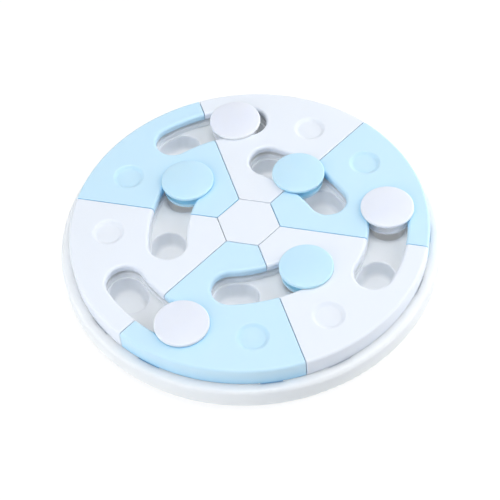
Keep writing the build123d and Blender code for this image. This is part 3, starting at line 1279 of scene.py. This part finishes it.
@dataclass(frozen=True)
class Slot:
    """One arc slot and where its knob stands.

    Attributes:
        ring: The ring of slots that it belongs to.
        number: Its number in that ring.
        seam: Angle of its seam, in degrees.
        share: Place of the knob along its travel, from -1 to 1.
        arc_radius: Radius of every slot's arc, in millimetres.
        inner_offset: How far behind the middle an inner slot's centre lies.
        half_travel: How far a knob slides either way, along the arc.
    """

    ring: Ring
    number: int
    seam: float
    share: float
    arc_radius: float = 91.1
    inner_offset: float = 39.1
    half_travel: float = 27.3

    def centre(self) -> Vector:
        """Finds the centre of the slot's arc.

        Returns:
            The centre, in millimetres.
        """
        turn = math.radians(self.seam)
        offset = self.inner_offset if self.ring is Ring.INNER else 0.0
        return Vector((-offset * math.cos(turn), -offset * math.sin(turn), 0.0))

    def place(self) -> Matrix:
        """Finds where the knob stands.

        Returns:
            The move from a knob built about the vertical axis, in metres.
        """
        along = self.share * self.half_travel / self.arc_radius
        turned = Matrix.Rotation(math.radians(self.seam) + along, 4, "Z")
        shift = Matrix.Translation(Vector((self.arc_radius * MM, 0.0, 0.0)))
        return Matrix.Translation(self.centre() * MM) @ turned @ shift


SLOTS = (
    Slot(Ring.OUTER, 1, 90.0, -0.665),
    Slot(Ring.OUTER, 2, -30.0, 1.0),
    Slot(Ring.OUTER, 3, 210.0, 0.92),
    Slot(Ring.INNER, 1, 30.0, 0.093),
    Slot(Ring.INNER, 2, -90.0, 0.863),
    Slot(Ring.INNER, 3, 150.0, -1.0),
)


@dataclass(frozen=True)
class Knob:
    """Cap over the panels, slider disc under them, and the screw that holds them together.

    Attributes:
        cap_radius: Radius of the cap, in millimetres.
        cap_foot: Height of the cap's underside.
        cap_edge: Height of the cap's edge.
        cap_crown: How far the crown rises over the edge.
        cap_flat: Radius of the crown's level middle.
        cap_round: Rounding of the cap's upper edge.
        crown_steps: Chords in the crown's bow.
        neck_radius: Radius of the skirt that goes through the slot.
        neck_bore: Radius inside the skirt.
        boss_radius: Radius of the screw's boss.
        pilot_radius: Radius of the screw's hole in the boss.
        slider_radius: Radius of the slider disc.
        slider_foot: Height of the disc's underside.
        slider_top: Height of the disc's upper face.
        slider_round: Rounding of the disc's edge.
        spigot_top: Height of the ring that centres the disc in the skirt.
        spigot_outer: Outer radius of that ring.
        spigot_inner: Inner radius of that ring.
        glide_outer: Outer radius of the glide ring under the disc.
        glide_inner: Inner radius of the glide ring.
        glide_slope: Width of the glide ring's sloping sides.
        glide_height: Height of the glide ring.
        hole_radius: Radius of the screw's hole in the disc.
        sink: Radius and depth that the hole is widened by for the screw's head.
        root_round: Rounding where the skirt meets the cap.
        skirt_round: Rounding of the skirt's lower edge.
        bore_round: Rounding of the skirt's inner edge and of the spigot's foot.
        roof_round: Rounding of the cap's underside against the skirt and the boss.
        boss_round: Rounding of the boss's lower edge and of the spigot's top.
        pilot_round: Rounding of the mouth of the hole in the boss.
        glide_round: Rounding of the glide ring.
        cap_sides: Sides of the cap's full turn.
        slider_sides: Sides of the disc's full turn.
        screw: The screw.
    """

    cap_radius: float = 17.5
    cap_foot: float = 30.4
    cap_edge: float = 1.9
    cap_crown: float = 1.4
    cap_flat: float = 1.0
    cap_round: float = 1.0
    crown_steps: int = 12
    neck_radius: float = 11.9
    neck_bore: float = 9.9
    boss_radius: float = 3.2
    pilot_radius: float = 1.45
    slider_radius: float = 16.2
    slider_foot: float = 22.6
    slider_top: float = 24.8
    slider_round: float = 0.44
    spigot_top: float = 26.3
    spigot_outer: float = 9.8
    spigot_inner: float = 7.8
    glide_outer: float = 14.6
    glide_inner: float = 13.2
    glide_slope: float = 0.3
    glide_height: float = 0.15
    hole_radius: float = 1.6
    sink: float = 1.5
    root_round: float = 0.35
    skirt_round: float = 0.3
    bore_round: float = 0.2
    roof_round: float = 0.4
    boss_round: float = 0.25
    pilot_round: float = 0.15
    glide_round: float = 0.1
    cap_sides: int = 128
    slider_sides: int = 96
    screw: Screw = Screw(HeadKind.COUNTERSUNK, foot=22.6, tip=29.4, head_height=1.4, pitch=0.9)

    def crown(self) -> list[tuple[float, float]]:
        """Follows the crown from its level middle to its edge.

        Returns:
            Its points of radius and height, in millimetres.
        """
        span = self.cap_radius - self.cap_flat
        bow = (span**2 + self.cap_crown**2) / (2 * self.cap_crown)
        top = self.cap_foot + self.cap_edge + self.cap_crown
        outs = [span * k / self.crown_steps for k in range(1, self.crown_steps)]
        return [(self.cap_flat + out, top - bow + math.sqrt(bow**2 - out**2)) for out in outs]

    def cap_mesh(self) -> bpy.types.Mesh:
        """Builds the cap about the vertical axis.

        Returns:
            Its closed mesh.
        """
        top = self.cap_foot + self.cap_edge + self.cap_crown
        foot, bottom = self.cap_foot, self.slider_top
        section = Outline().to(0.0, top).to(self.cap_flat, top)
        for radius, height in self.crown():
            section.to(radius, height)
        section.to(self.cap_radius, foot + self.cap_edge, self.cap_round)
        section.to(self.cap_radius, foot, self.cap_round / 3)
        section.to(self.neck_radius, foot, self.root_round)
        section.to(self.neck_radius, bottom, self.skirt_round)
        section.to(self.neck_bore, bottom, self.bore_round)
        section.to(self.neck_bore, foot, self.roof_round)
        section.to(self.boss_radius, foot, self.roof_round)
        section.to(self.boss_radius, bottom, self.boss_round)
        section.to(self.pilot_radius, bottom, self.pilot_round)
        section.to(self.pilot_radius, foot).to(0.0, foot)
        return skin_rings("cap", section.points(), self.cap_sides, False)

    def slider_mesh(self) -> bpy.types.Mesh:
        """Builds the slider disc about the vertical axis, with a low glide ring under it.

        Returns:
            Its closed mesh.
        """
        low, high = self.slider_foot, self.slider_top
        glide, slope = low - self.glide_height, self.glide_slope
        section = Outline().to(self.hole_radius, high)
        section.to(self.spigot_inner, high, self.bore_round)
        section.to(self.spigot_inner, self.spigot_top, self.boss_round)
        section.to(self.spigot_outer, self.spigot_top, self.boss_round)
        section.to(self.spigot_outer, high, self.bore_round)
        section.to(self.slider_radius, high, self.slider_round)
        section.to(self.slider_radius, low, self.slider_round)
        section.to(self.glide_outer, low, self.glide_round)
        section.to(self.glide_outer - slope, glide, self.glide_round)
        section.to(self.glide_inner + slope, glide, self.glide_round)
        section.to(self.glide_inner, low, self.glide_round)
        section.to(self.hole_radius + self.sink, low).to(self.hole_radius, low + self.sink)
        return skin_rings("slider", section.points(), self.slider_sides, True)

    def build(self, finishes: dict[str, bpy.types.Material]) -> None:
        """Builds the six knobs in their slots.

        Args:
            finishes: Materials by slot name.
        """
        shapes = {
            "cap": self.cap_mesh(),
            "slider": self.slider_mesh(),
            "cap_screw": self.screw.mesh("knob_screw"),
        }
        for slot in SLOTS:
            where = slot.place()
            name = f"{slot.ring.value}_{slot.number}"
            colour = "knob_white" if slot.ring is Ring.OUTER else "knob_blue"
            for kind, shape in shapes.items():
                mesh = shape.copy()
                mesh.transform(where)
                piece = new_object(f"knob_{kind}_{name}", mesh)
                finish = "screw_steel" if kind == "cap_screw" else colour
                finish_piece(piece, f"knob_{name}", [f"{kind}_{name}"], finishes[finish])


# ---------------------------------------------------------------- board
@dataclass(frozen=True)
class Board:
    """The tray, the six wedge panels and the hub plate, which keep their own shapes.

    Attributes:
        tray: Node of the tray.
        hub: Node of the hub plate.
        panels: Nodes of the panels.
    """

    tray: str = "base_tray"
    hub: str = "hub_plate"
    panels: tuple[str, ...] = tuple(f"panel_{c}_{n}" for c in ("blue", "white") for n in (1, 2, 3))

    def dress(self, finishes: dict[str, bpy.types.Material]) -> None:
        """Dresses every piece of the board.

        Args:
            finishes: Materials by slot name.
        """
        for name in (self.tray, self.hub, *self.panels):
            slot = "tray_white" if name == self.tray else "panel_white"
            if "blue" in name:
                slot = "panel_blue"
            dress(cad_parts[name], finishes[slot])
            log.info("dressed %s", name)


# ---------------------------------------------------------------- studio
def seen_directly(tree: NodeTree) -> Socket:
    """Tells the rays that show the plain background.

    Args:
        tree: The tree of the world or the floor.

    Returns:
        1 for camera, gloss and transmission rays, else 0.
    """
    path = tree.add("ShaderNodeLightPath")
    seen = tree.math("MAXIMUM", path.outputs["Is Camera Ray"], path.outputs["Is Glossy Ray"])
    return tree.math("MAXIMUM", seen, path.outputs["Is Transmission Ray"])


@dataclass(frozen=True)
class Lamp:
    """One square soft lamp that faces the board.

    Attributes:
        name: Its name.
        place: Where it hangs, in metres.
        size: Length of its side, in metres.
        watts: Its power.
        colour: Its colour.
        mirrored: Whether gloss shows it. A low lamp would burn out the tops in side views.
    """

    name: str
    place: Point
    size: float
    watts: float
    colour: Colour = (1.0, 1.0, 1.0)
    mirrored: bool = False

    def hang(self, aim: Vector) -> None:
        """Hangs the lamp.

        Args:
            aim: Point that it faces, in metres.
        """
        data = bpy.data.lights.new(self.name, "AREA")
        data.size = self.size
        data.energy = self.watts
        data.color = self.colour
        lamp = new_object(self.name, data)
        lamp.location = self.place
        lamp.visible_glossy = self.mirrored
        lamp.rotation_mode = "QUATERNION"
        lamp.rotation_quaternion = (aim - Vector(self.place)).to_track_quat("-Z", "Y")


@dataclass(frozen=True)
class Floor:
    """Pale floor just under the feet. It keeps the board's shadow and fades to plain white.

    Attributes:
        half_side: Half the length of its side, in metres.
        drop: How far it lies under the feet, in metres.
        colour: Its colour.
        glow: Strength of the plain white that it fades to.
        base_share: Share of plain white for every ray.
        fade: Distances from the middle where the fading starts and ends, in metres.
        shares: Shares of plain white added there for rays that show the floor directly.
    """

    half_side: float = 4.0
    drop: float = 0.00005
    colour: Colour = (0.86, 0.87, 0.88)
    glow: float = 1.12
    base_share: float = 0.38
    fade: tuple[float, float] = (0.3, 0.9)
    shares: tuple[float, float] = (0.32, 0.62)

    def finish(self) -> bpy.types.Material:
        """Builds the floor's finish.

        Returns:
            The finish. It is clear from below, so that the underside can be looked at.
        """
        made = bpy.data.materials.new("floor_white")
        tree = cleared(made)
        seen = seen_directly(tree)
        place = tree.add("ShaderNodeTexCoord").outputs["Object"]
        reach = tree.math("LENGTH", place, kind="ShaderNodeVectorMath")
        far = tree.ramp(reach, self.fade, self.shares)
        share = tree.math("ADD", tree.math("MULTIPLY", seen, far), self.base_share)
        matte = tree.add("ShaderNodeBsdfDiffuse", self.colour)
        glow = tree.add("ShaderNodeEmission", Strength=self.glow)
        clear = tree.add("ShaderNodeBsdfTransparent").outputs["BSDF"]
        below = tree.add("ShaderNodeNewGeometry").outputs["Backfacing"]
        both = tree.choose(share, matte.outputs["BSDF"], glow.outputs["Emission"])
        sided = tree.choose(below, both, clear)
        tree.add("ShaderNodeOutputMaterial", sided)
        return made

    def lay(self) -> None:
        """Lays the floor."""
        shape = bmesh.new()
        bmesh.ops.create_grid(shape, x_segments=1, y_segments=1, size=self.half_side)
        bmesh.ops.translate(shape, verts=shape.verts, vec=(0.0, 0.0, -self.drop))
        floor = new_object("floor", as_mesh(shape, "floor"))
        dress(floor, self.finish())


@dataclass(frozen=True)
class Studio:
    """Camera, lamps, world and floor.

    Attributes:
        aim: Point the camera's distance is measured from, in metres.
        azimuth: Where the camera stands, in degrees from the front.
        elevation: How far it looks down, in degrees.
        roll: How far it is turned about its own axis, in degrees.
        distance: From the aim point, in metres.
        pan: How far its axis points beside the aim point, in degrees.
        tilt: How far its axis points above the aim point, in degrees.
        lens: Focal length on the sensor, in millimetres.
        sensor: Width of the sensor, in millimetres.
        clip: Nearest distance that it sees, in metres.
        even_light: Strength of the light from all round.
        even_colour: Its colour.
        lamps: The lamps.
        floor: The floor.
    """

    aim: Point = (0.0, 0.0, 0.030)
    azimuth: float = -13.34
    elevation: float = 49.907
    roll: float = -5.056
    distance: float = 0.9361
    pan: float = 0.060
    tilt: float = 1.135
    lens: float = 103.15
    sensor: float = 36.0
    clip: float = 0.01
    even_light: float = 0.13
    even_colour: Colour = (0.97, 0.985, 1.0)
    lamps: tuple[Lamp, ...] = (
        Lamp("key", (0.98, -0.05, 0.43), 1.0, 11.5),
        Lamp("left", (-0.90, -0.35, 0.45), 0.8, 6.6, (0.98, 0.99, 1.0)),
        Lamp("top", (0.0, 0.05, 1.2), 0.7, 6.7, mirrored=True),
    )
    floor: Floor = Floor()

    def place_camera(self) -> None:
        """Makes the camera and looks through it."""
        turn, rise = math.radians(self.azimuth), math.radians(self.elevation)
        level = math.cos(rise)
        back = Vector((math.sin(turn) * level, -math.cos(turn) * level, math.sin(rise)))
        right = Vector((math.cos(turn), math.sin(turn), 0.0))
        turned = Matrix((right, back.cross(right), back)).transposed()
        for degrees, axis in ((self.roll, "Z"), (-self.pan, "Y"), (-self.tilt, "X")):
            turned = turned @ Matrix.Rotation(math.radians(degrees), 3, axis)
        data = bpy.data.cameras.new("view")
        data.lens = self.lens
        data.sensor_width = self.sensor
        data.clip_start = self.clip
        camera = new_object("view", data)
        place = Matrix.Translation(Vector(self.aim) + back * self.distance)
        camera.matrix_world = place @ turned.to_4x4()
        bpy.context.scene.camera = camera

    def fill_world(self) -> None:
        """Lights the whole scene evenly, and shows plain white behind it."""
        world = bpy.data.worlds.new("studio_world")
        tree = cleared(world)
        soft = tree.add("ShaderNodeBackground", self.even_colour, self.even_light)
        plain = tree.add("ShaderNodeBackground", (1.0, 1.0, 1.0))
        shown = tree.choose(seen_directly(tree), soft.outputs[0], plain.outputs[0])
        tree.add("ShaderNodeOutputWorld", shown)
        bpy.context.scene.world = world

    def build(self) -> None:
        """Sets up the whole studio."""
        bpy.context.scene.view_settings.view_transform = "Standard"
        self.place_camera()
        self.fill_world()
        for lamp in self.lamps:
            lamp.hang(Vector(self.aim))
        self.floor.lay()
        log.info("set up the studio with %d lamps", len(self.lamps))


def make_finishes(effects: Effects) -> dict[str, bpy.types.Material]:
    """Builds every finish.

    Args:
        effects: The shared shader groups.

    Returns:
        Materials by slot name.
    """
    inner = (tuple(slot.centre() * MM) for slot in SLOTS if slot.ring is Ring.INNER)
    # The third tint of each plastic is painted light and shade in its recesses, placed by ambient
    # occlusion.
    finishes = (
        MouldedPlastic(
            "tray_white",
            Tint.TRAY_WHITE,
            Tint.DENSE_TRAY_WHITE,
            Tint.PAINTED_LIGHT_TRAY_WHITE,
            recess=0.020,
            roughness=0.44,
            glow=1.0,
            depth=0.009,
            slide_centres=((0.0, 0.0, 0.0), *inner),
            slide_radius=Slot.arc_radius * MM,
            slide_half_width=Knob.slider_radius * MM,
        ),
        MouldedPlastic("panel_white", Tint.WHITE, Tint.DENSE_WHITE, Tint.PAINTED_LIGHT_WHITE, open_at=0.45),
        MouldedPlastic(
            "panel_blue", Tint.PALE_BLUE, Tint.DENSE_BLUE, Tint.PAINTED_SHADE_BLUE, recess=0.010
        ),
        MouldedPlastic(
            "knob_white",
            Tint.KNOB_WHITE,
            Tint.DENSE_KNOB_WHITE,
            Tint.PAINTED_LIGHT_KNOB_WHITE,
            roughness=0.36,
            glow=1.0,
            depth=0.003,
            scuffs=0.5,
        ),
        MouldedPlastic(
            "knob_blue",
            Tint.KNOB_BLUE,
            Tint.DENSE_KNOB_BLUE,
            Tint.PAINTED_BOUNCE_KNOB_BLUE,
            roughness=0.36,
            glow=0.8,
            depth=0.002,
            scuffs=0.5,
        ),
        PlatedSteel("screw_steel", Tint.ZINC, Tint.DULL_ZINC),
        MouldedPlastic(
            "foot_rubber",
            Tint.PAD_GREY,
            Tint.DENSE_AND_PAINTED_SHADE_GREY,
            Tint.DENSE_AND_PAINTED_SHADE_GREY,
            roughness=0.72,
            grain_height=0.00002,
            glow=0.2,
        ),
    )
    return {finish.name: finish.material(effects) for finish in finishes}


def main() -> None:
    """Builds the studio and every piece."""
    logging.basicConfig(level=logging.INFO)
    Studio().build()
    finishes = make_finishes(Effects())
    ring = ring_of_pieces()
    Board().dress(finishes)
    Knob().build(finishes)
    BoardScrews().build(ring, finishes["screw_steel"])
    Feet().build(ring, finishes["foot_rubber"])


if __name__ == "__main__":
    main()
